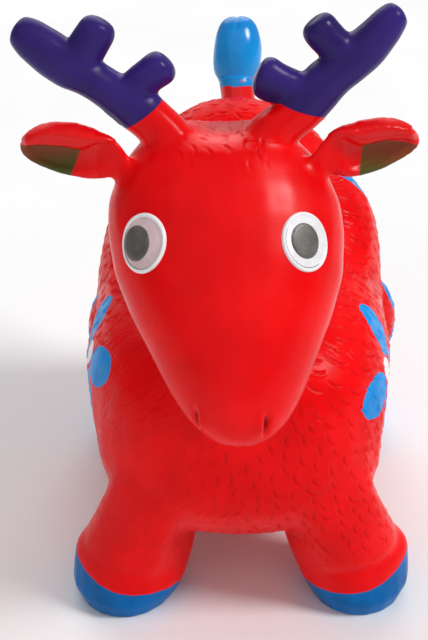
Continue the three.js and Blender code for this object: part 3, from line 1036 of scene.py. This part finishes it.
class Paint:
    """A vinyl material, built node by node on the piece's own coordinates."""

    def __init__(self, name):
        self.material = bpy.data.materials.new(name)
        self.material.use_nodes = True
        self.tree = self.material.node_tree
        self.shader = self.tree.nodes["Principled BSDF"]
        self.place = self.add("ShaderNodeTexCoord").outputs["Object"]
        self.x, self.y, self.z = self.parts(self.place)

    def add(self, kind):
        return self.tree.nodes.new(kind)

    def feed(self, socket, value):
        if isinstance(value, bpy.types.NodeSocket):
            self.tree.links.new(value, socket)
        else:
            socket.default_value = value

    def parts(self, vector):
        """The three parts of a vector."""
        split = self.add("ShaderNodeSeparateXYZ")
        self.feed(split.inputs[0], vector)
        return split.outputs

    def stored(self, name):
        """The outputs that read what the mesh keeps under that name."""
        node = self.add("ShaderNodeAttribute")
        node.attribute_name = name
        return node.outputs

    def math(self, operation, *values):
        node = self.add("ShaderNodeMath")
        node.operation = operation
        for socket, value in zip(node.inputs, values):
            self.feed(socket, value)
        return node.outputs[0]

    def squares(self, first, second):
        """The sum of the squares of two values."""
        return self.math("MULTIPLY_ADD", first, first, self.math("MULTIPLY", second, second))

    def shared(self, mask, *others):
        """The product of the masks: nothing where one of them is 0."""
        for other in others:
            mask = self.math("MULTIPLY", mask, other)
        return mask

    def noise(self, size, detail=2):
        """A soft random pattern from 0 to 1 with marks of about that size."""
        node = self.add("ShaderNodeTexNoise")
        self.feed(node.inputs["Vector"], self.place)
        node.inputs["Scale"].default_value = 1 / size
        node.inputs["Detail"].default_value = detail
        return node.outputs[0]

    def ramp(self, value, low, high, start=0, end=1):
        """The value eased from start to end as it goes from low to high."""
        node = self.add("ShaderNodeMapRange")
        node.interpolation_type = "SMOOTHSTEP"
        for socket, part in zip(node.inputs, (value, low, high, start, end)):
            self.feed(socket, part)
        return node.outputs[0]

    def mix(self, share, first, second):
        node = self.add("ShaderNodeMix")
        node.data_type = "RGBA"
        for index, value in ((0, share), (6, first), (7, second)):
            self.feed(node.inputs[index], value)
        return node.outputs[2]

    def plane(self, point, normal):
        """The distance from a plane, positive on the side that the normal points to."""
        total = -Vector(point).dot(Vector(normal))
        for axis, part in zip((self.x, self.y, self.z), normal):
            total = self.math("MULTIPLY_ADD", axis, part, total)
        return total

    def shaded_in_grooves(self, colour):
        """The colour with painted shade, darker down in the moulded fur strokes."""
        depth = self.math("MULTIPLY", self.stored("fur_groove")["Fac"], FUR_GROOVE_SHADE)
        return self.mix(depth, colour, SHADE_RED)

    def front_plane(self, x, z, across, up):
        """The distance from a plane seen edge-on from the front, at a point in millimetres."""
        return self.plane((x * MM, 0, z * MM), (across, 0, up))

    def mottled(self, colour, deep, size=COLOUR_MOTTLE):
        """A colour that drifts a little towards its deeper tone."""
        return self.mix(self.ramp(self.noise(size, 3), *NOISE_RANGE), colour, deep)

    def surface(self, colour, gloss):
        """The finished surface: colour, uneven gloss and a fine moulded grain."""
        smoothest, roughest, shine, grain = gloss
        self.feed(self.shader.inputs["Base Color"], colour)
        self.shader.inputs["Specular IOR Level"].default_value = shine
        roughness = self.ramp(self.noise(GLOSS_PATCH, 4), *NOISE_RANGE, smoothest, roughest)
        self.feed(self.shader.inputs["Roughness"], roughness)
        bump = self.add("ShaderNodeBump")
        bump.inputs["Strength"].default_value = grain
        bump.inputs["Distance"].default_value = GRAIN_DEPTH
        self.feed(bump.inputs["Height"], self.noise(GRAIN_SIZE, 2))
        self.feed(self.shader.inputs["Normal"], bump.outputs[0])
        return self.material


def flower(paint, sign, y, z, turn):
    """Masks of one flank's flower: a petal all round but at the turn, in degrees, and a centre."""
    across = paint.math("SUBTRACT", paint.y, y * MM)
    up = paint.math("SUBTRACT", paint.z, z * MM)
    wobble = paint.math("MULTIPLY_ADD", paint.noise(WOBBLE_SIZE), PETAL_WOBBLE, -PETAL_WOBBLE / 2)
    radius = paint.math("ADD", paint.math("SQRT", paint.squares(across, up)), wobble)
    angle = paint.math("SUBTRACT", paint.math("ARCTAN2", up, across), math.radians(turn))
    half = math.pi / PETALS
    folded = paint.math("WRAP", angle, half, -half)
    out = paint.math("MULTIPLY_ADD", paint.math("COSINE", folded), radius, -PETAL_DISTANCE)
    side = paint.math("MULTIPLY", paint.math("SINE", folded), radius)
    out = paint.math("DIVIDE", out, PETAL_LENGTH / 2)
    side = paint.math("DIVIDE", side, PETAL_WIDTH / 2)
    oval = paint.ramp(paint.squares(out, side), 1 + PETAL_EDGE, 1 - PETAL_EDGE)
    flank = paint.math("GREATER_THAN", paint.math("MULTIPLY", paint.x, sign), FLANK)
    kept = paint.math("LESS_THAN", paint.math("COSINE", angle), math.cos(half))
    centre = paint.ramp(radius, FLOWER_CENTRE + CENTRE_EDGE, FLOWER_CENTRE - CENTRE_EDGE)
    return paint.shared(oval, flank, kept), paint.shared(centre, flank)


def hoof_share(paint):
    """1 on the hooves, up to a paint line that rises on their outer side."""
    outward = paint.math("SUBTRACT", paint.math("ABSOLUTE", paint.x), HOOF_MIDDLE)
    line = paint.math("MULTIPLY_ADD", outward, HOOF_PAINT_SLOPE, HOOF_PAINT_HEIGHT)
    outer = paint.math("MAXIMUM", outward, 0.0)
    rise = paint.math("MULTIPLY", paint.math("MULTIPLY", outer, outer), HOOF_PAINT_RISE)
    line = paint.math("ADD", line, rise)
    return paint.ramp(paint.math("SUBTRACT", paint.z, line), PAINT_EDGE, -PAINT_EDGE)


def coat_vinyl():
    """Red vinyl with painted shade in the fur grooves, hooves in a darker blue as painted shade, and
    blue and white flowers on the flanks.
    """
    paint = Paint("red_vinyl_flowers")
    # Painted shade darkens the red down in the fur grooves
    colour = paint.shaded_in_grooves(paint.mottled(RED, DEEP_RED))
    blue = paint.mottled(BLUE, DEEP_BLUE)
    for side, places in FLOWERS.items():
        for y, z, turn in places:
            petal, centre = flower(paint, SIDES[side], y, z, turn)
            colour = paint.mix(petal, colour, blue)
            colour = paint.mix(centre, colour, WHITE)
    # The hooves take the darker copy of the blue, as painted shade
    colour = paint.mix(hoof_share(paint), colour, paint.mottled(SHADED_HOOF_BLUE, DEEP_SHADED_HOOF_BLUE))
    return paint.surface(colour, COAT_GLOSS)


def head_vinyl(name):
    """Red vinyl, purple above the paint line of each antler, and painted shade in the poll's fur
    grooves and in each nostril slit.
    """
    paint = Paint(name)
    # Painted shade darkens the red down in the fur grooves of the poll
    colour = paint.shaded_in_grooves(paint.mottled(RED, DEEP_RED))
    purple = paint.mottled(PURPLE, DEEP_PURPLE)
    for side, (beam, *tines) in ANTLER_PAINT.items():
        x, z, across, up = EAR_CLEARANCE
        clear = paint.front_plane(SIDES[side] * x, z, SIDES[side] * across, up)
        outer = paint.front_plane(HEAD_MIDDLE / MM, 0, SIDES[side], 0)
        level = paint.front_plane(0, TINE_LEVEL, 0, 1)
        beyond = paint.front_plane(*beam)
        for tine in tines:
            past_tine = paint.math("MINIMUM", paint.front_plane(*tine), level)
            beyond = paint.math("MAXIMUM", beyond, past_tine)
        least = paint.math("MINIMUM", beyond, paint.math("MINIMUM", clear, outer))
        colour = paint.mix(paint.ramp(least, -PAINT_EDGE, PAINT_EDGE), colour, purple)
    # Painted shade darkens the red down in each nostril slit
    for place, along, across in nostril_axes():
        down = paint.math("DIVIDE", paint.plane(place, along), NOSTRIL_SHADE_LENGTH)
        aside = paint.math("DIVIDE", paint.plane(place, across), NOSTRIL_SHADE_WIDTH)
        stain_and_shade = paint.ramp(paint.squares(down, aside), *NOSTRIL_SHADE_EDGE)
        colour = paint.mix(stain_and_shade, colour, SHADE_RED)
    return paint.surface(colour, HEAD_GLOSS)


def tail_vinyl():
    """A blue egg on a red stem, with a worn smear at the paint line."""
    paint = Paint("tail_paint_vinyl")
    red = paint.mottled(RED, DEEP_RED)
    blue = paint.mottled(BLUE, DEEP_BLUE)
    wave = paint.math("MULTIPLY_ADD", paint.noise(TAIL_WAVE_SIZE), TAIL_WAVE, -TAIL_WAVE / 2)
    height = paint.math("ADD", paint.plane(TAIL_PAINT_POINT, TAIL_PAINT_NORMAL), wave)
    share = paint.ramp(height, -PAINT_EDGE, PAINT_EDGE)
    above = paint.math("ABSOLUTE", paint.math("SUBTRACT", paint.z, SMEAR_HEIGHT))
    flecks = paint.ramp(paint.noise(SMEAR_SIZE, 4), *SMEAR_FLECKS)
    smear = paint.shared(paint.ramp(above, *SMEAR_HALF), paint.ramp(paint.x, *SMEAR_SIDE), flecks)
    share = paint.math("SUBTRACT", share, smear)
    return paint.surface(paint.mix(share, red, blue), TAIL_GLOSS)


def ear_vinyl(side):
    """Red vinyl with olive and brown sprayed into the outer part of the hollow."""
    paint = Paint(f"ear_paint_vinyl_{side}")
    red = paint.mottled(RED, DEEP_RED)
    reach, across, front = paint.parts(paint.stored("ear_place")["Vector"])
    line, lean = EAR_PAINT[side]
    outward = paint.math("MULTIPLY_ADD", paint.x, SIDES[side], -line)
    level = paint.math("SUBTRACT", paint.z, EAR_LEVEL)
    outer = paint.math("MULTIPLY_ADD", level, lean, outward)
    share = paint.shared(
        paint.ramp(outer, -EAR_PAINT_EDGE, EAR_PAINT_EDGE), paint.ramp(across, *EAR_PAINT_TOP),
        paint.ramp(front, *EAR_PAINT_FRONT),
    )
    browning = paint.math("MULTIPLY_ADD", paint.noise(BROWN_SIZE), BROWN_NOISE, BROWN_START)
    browning = paint.math("MULTIPLY_ADD", across, BROWN_ACROSS, browning)
    browning = paint.math("MULTIPLY_ADD", reach, BROWN_REACH, browning)
    stain_and_shade = paint.mix(paint.ramp(browning, *BROWN_RANGE), OLIVE, BROWN)
    return paint.surface(paint.mix(share, red, stain_and_shade), EAR_GLOSS)


def eye_enamel(side):
    """White eye with a brighter white rim over a dish with painted shade, pinker on the right eye as a
    painted reflection of the red skin, and a thin line of painted shade inside the rim on its lower
    side.
    """
    paint = Paint(f"eye_enamel_{side}")
    right, up, radius = paint.parts(paint.stored("eye_place")["Vector"])
    # The dish's colour is painted shade, with a painted reflection of the red skin on the right eye
    dish = paint.mottled(*EYE_DISH_SHADE_COLOURS[side], EYE_MOTTLE)
    colour = paint.mix(paint.ramp(radius, *EYE_RIM), dish, WHITE)
    # Painted shade in a thin line inside the rim, only on its lower side
    low = paint.ramp(paint.math("ADD", right, up), *EYE_SHADE_LINE_LOW)
    line = paint.shared(
        paint.ramp(radius, *EYE_SHADE_LINE_INSIDE), paint.ramp(radius, *EYE_SHADE_LINE_OUTSIDE), low,
    )
    return paint.surface(paint.mix(line, colour, EYE_SHADE_LINE), EYE_GLOSS)


def pupil_enamel():
    """Dark grey pupil with the mottle of a worn print."""
    paint = Paint("pupil_enamel")
    speck = paint.ramp(paint.noise(PUPIL_SPECK, 1), *NOISE_RANGE, *PUPIL_SPECK_RANGE)
    patch = paint.ramp(paint.noise(PUPIL_PATCH), *NOISE_RANGE, *PUPIL_PATCH_RANGE)
    colour = paint.mix(paint.shared(speck, patch), PUPIL, PALE_PUPIL)
    return paint.surface(colour, PUPIL_GLOSS)


def valve_plastic():
    """Pale milky plastic of the air valve."""
    paint = Paint("valve_plastic_milky")
    return paint.surface(paint.mottled(VALVE, DEEP_VALVE, VALVE_MOTTLE), VALVE_GLOSS)


def floor_paper():
    """A seamless pale paper sweep."""
    paint = Paint("floor_paper")
    return paint.surface(paint.mottled(FLOOR, DEEP_FLOOR, FLOOR_MOTTLE), FLOOR_GLOSS)


# Dressing of the pieces

def dress(name, material, body, slot, *nodes):
    thing = pieces[name]
    thing.data.materials.append(material)
    if body:
        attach(thing, body)
    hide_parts(*nodes)


def mark_ear(name):
    """Stores where each point lies on its ear, for the sprayed paint."""
    mesh = pieces[name].data
    reach, across = ear_place(points_of(mesh), name)[1:]
    front = normals_of(mesh) @ ear_axes(name)[2]
    store(mesh, "ear_place", "FLOAT_VECTOR", np.stack([reach, across, front], 1))


def bend(name):
    """Puts the limb's placement into the points of its mesh."""
    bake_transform(pieces[name])


coat = coat_vinyl()
tail = tail_vinyl()
for name in ("torso_chest", "torso_back", "torso_belly"):
    dress(name, coat, "hopper", "red_vinyl", "torso")
dress("neck", coat, "hopper", "red_vinyl", "neck")
dress("head", head_vinyl("red_vinyl_antler_roots"), "hopper", "red_vinyl", "head")
antler_coat = head_vinyl("purple_vinyl_red_roots")
for corner in CORNERS:
    leg = f"leg_{corner}"
    hoof = f"hoof_{corner}"
    dress(leg, coat, None, "red_vinyl", leg)
    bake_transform(pieces[leg])
    dress(hoof, coat, hoof, "blue_vinyl", hoof)
for side in SIDES:
    antler = f"antler_{side}"
    dress(antler, antler_coat, None, "purple_vinyl", antler)
    bend(antler)
    ear = f"ear_{side}"
    mark_ear(ear)
    dress(ear, ear_vinyl(side), None, "red_vinyl", ear)
    bend(ear)
dress("tail_stem", tail, None, "red_vinyl", "tail_stem")
bend("tail_stem")
dress("tail_bulb", tail, "tail", "blue_vinyl", "tail_bulb")

# Eyes and valve

def spun(profile, middle, steps=ROUND_STEPS):
    """A closed shape turned about an upright axis from a profile of radii and heights."""
    shape = bmesh.new()
    verts = [shape.verts.new((radius, 0, height)) for radius, height in profile]
    for first, second in zip(verts, verts[1:]):
        shape.edges.new((first, second))
    bmesh.ops.spin(
        shape, geom=shape.verts[:] + shape.edges[:], cent=(0, 0, 0), axis=(0, 0, 1),
        angle=math.tau, steps=steps, use_merge=True,
    )
    bmesh.ops.remove_doubles(shape, verts=shape.verts, dist=ROUND_MERGE)
    bmesh.ops.recalc_face_normals(shape, faces=shape.faces)
    bmesh.ops.translate(shape, verts=shape.verts, vec=middle)
    return shape


def disc_on_head(node, profile, width, height, lift, side):
    """An oval disc laid on the head's skin where its CAD node is."""
    facing = smooth_surface.find_nearest(middle_of(f"eye_{side}"))[1]
    up = (Vector((0, 0, 1)) - facing.z * facing).normalized()
    up = Matrix.Rotation(-SIDES[side] * EYE_ROLL, 3, facing) @ up
    right = up.cross(facing)
    middle = middle_of(node)
    shape = spun(profile, (0, 0, 0))
    places = []
    for vert in shape.verts:
        places.append((vert.co.x, vert.co.y, math.hypot(vert.co.x, vert.co.y)))
        spot = middle + right * vert.co.x * width / 2 + up * vert.co.y * height / 2
        ground = smooth_surface.ray_cast(spot + facing * RAY_START, -facing)[0]
        vert.co = ground + facing * (lift + vert.co.z) * MM
    thing = shown(f"{node}_disc", mesh_from(shape, f"{node}_disc"))
    store(thing.data, "eye_place", "FLOAT_VECTOR", np.array(places))
    return thing


def finish_piece(thing, material, body, node):
    thing.data.materials.append(material)
    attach(thing, body)
    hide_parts(node)


def along_profile(profile, radius, height, sign=1):
    """A profile's points, out from a radius or in from it with a sign of -1, and up from a height."""
    return [(radius + sign * out * MM, height + up * MM) for out, up in profile]


def valve_collar(plastic):
    """The belly's collar: a sleeve round its bore, with a rounded flange at its foot."""
    low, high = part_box("valve_collar")
    centre = middle_of("valve_collar")
    offsets = points_of(frame["nodes"]["valve_collar"].data)[:, :2] - np.array(centre)[:2]
    away = np.linalg.norm(offsets, axis=1)
    bore = away.min()
    top = high.z
    foot = low.z
    profile = [(bore, top), (bore, foot + COLLAR_ROUND), (bore + COLLAR_ROUND, foot)]
    profile += along_profile(FLANGE_PROFILE, away.max(), foot, -1)
    shoulder = foot + FLANGE_SHOULDER
    profile += [(COLLAR_SLEEVE + COLLAR_ROUND, shoulder), (COLLAR_SLEEVE, shoulder + COLLAR_ROUND)]
    profile += [(COLLAR_SLEEVE, top), (bore, top)]
    ring = spun(profile, (centre.x, centre.y, 0))
    ring = shown("valve_collar_ring", mesh_from(ring, "valve_collar_ring"))
    finish_piece(ring, plastic, "hopper", "valve_collar")


def air_plug(plastic):
    """The push-in plug: a round head under a ribbed shank, and a tab to pull it by."""
    low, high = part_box("air_plug")
    centre = middle_of("valve_collar")
    head_foot = low.z + TAB_HEIGHT
    head_top = head_foot + PLUG_HEAD_DEPTH
    profile = [(0, head_foot)]
    profile += along_profile(PLUG_HEAD_PROFILE, PLUG_HEAD, head_foot, -1)
    profile.append((PLUG_SHANK, head_top))
    pitch = (high.z - head_top) / (PLUG_RIBS + 1)
    for index in range(PLUG_RIBS):
        profile += along_profile(RIB_PROFILE, PLUG_SHANK, head_top + (index + FIRST_RIB) * pitch)
    profile += [(PLUG_SHANK, high.z - PLUG_POINT), (PLUG_SHANK - PLUG_POINT, high.z), (0, high.z)]
    plug = spun(profile, (centre.x, centre.y, 0))
    tab = bmesh.ops.create_cube(plug, size=1)["verts"]
    bmesh.ops.scale(plug, verts=tab, vec=TAB_SIZE)
    bmesh.ops.translate(plug, verts=tab, vec=(centre.x, centre.y, low.z + TAB_SIZE.z / 2))
    edges = list(dict.fromkeys(edge for vert in tab for edge in vert.link_edges))
    bmesh.ops.bevel(
        plug, geom=edges, offset=TAB_ROUND, offset_type="OFFSET", affect="EDGES",
        segments=TAB_ROUND_STEPS, profile=0.5, material=-1,
    )
    plug = shown("air_plug_stem", mesh_from(plug, "air_plug_stem"))
    finish_piece(plug, plastic, "air_plug", "air_plug")


pupil = pupil_enamel()
for side in SIDES:
    eye = f"eye_{side}"
    disc = disc_on_head(eye, EYE_PROFILE, EYE_WIDTH, EYE_HEIGHT, 0, side)
    finish_piece(disc, eye_enamel(side), "hopper", eye)
    disc = disc_on_head(f"pupil_{side}", PUPIL_PROFILE, PUPIL_WIDTH, PUPIL_HEIGHT, EYE_DISH, side)
    finish_piece(disc, pupil, "hopper", f"pupil_{side}")
plastic = valve_plastic()
valve_collar(plastic)
air_plug(plastic)

# Floor, camera and light

def lay_floor():
    sheet = bmesh.new()
    bmesh.ops.create_grid(
        sheet, x_segments=FLOOR_SQUARES, y_segments=FLOOR_SQUARES, size=FLOOR_HALF,
    )
    floor = shown("floor", mesh_from(sheet, "floor"))
    floor.data.materials.append(floor_paper())


def aim_camera():
    lens = bpy.data.cameras.new("camera")
    lens.sensor_width = 36
    lens.lens = lens.sensor_width * FOCAL_PIXELS / IMAGE_HEIGHT
    camera = bpy.data.objects.new("camera", lens)
    bpy.context.scene.collection.objects.link(camera)
    camera.location = CAMERA_PLACE
    heading = Matrix.Rotation(CAMERA_TURN, 3, "Z")
    tilt = Matrix.Rotation(math.pi / 2 - CAMERA_DOWN, 3, "X")
    roll = Matrix.Rotation(CAMERA_ROLL, 3, "Z")
    camera.rotation_euler = (heading @ tilt @ roll).to_euler()
    bpy.context.scene.camera = camera


def soft_sun(name, source, strength, spread):
    """A broad soft light, like a wide diffuser, from a far point."""
    lamp = bpy.data.lights.new(name, "SUN")
    lamp.energy = strength
    lamp.angle = math.radians(spread)
    light = bpy.data.objects.new(name, lamp)
    bpy.context.scene.collection.objects.link(light)
    light.location = source
    light.rotation_euler = (-Vector(source)).to_track_quat("-Z", "Y").to_euler()


def light_studio():
    for name, light in LIGHTS.items():
        soft_sun(name, *light)
    world = bpy.data.worlds.new("studio")
    bpy.context.scene.world = world
    world.use_nodes = True
    sky = world.node_tree.nodes["Background"]
    sky.inputs["Color"].default_value = (1, 1, 1, 1)
    sky.inputs["Strength"].default_value = SKY_STRENGTH


lay_floor()
aim_camera()
light_studio()
bpy.context.scene.view_settings.view_transform = "Standard"
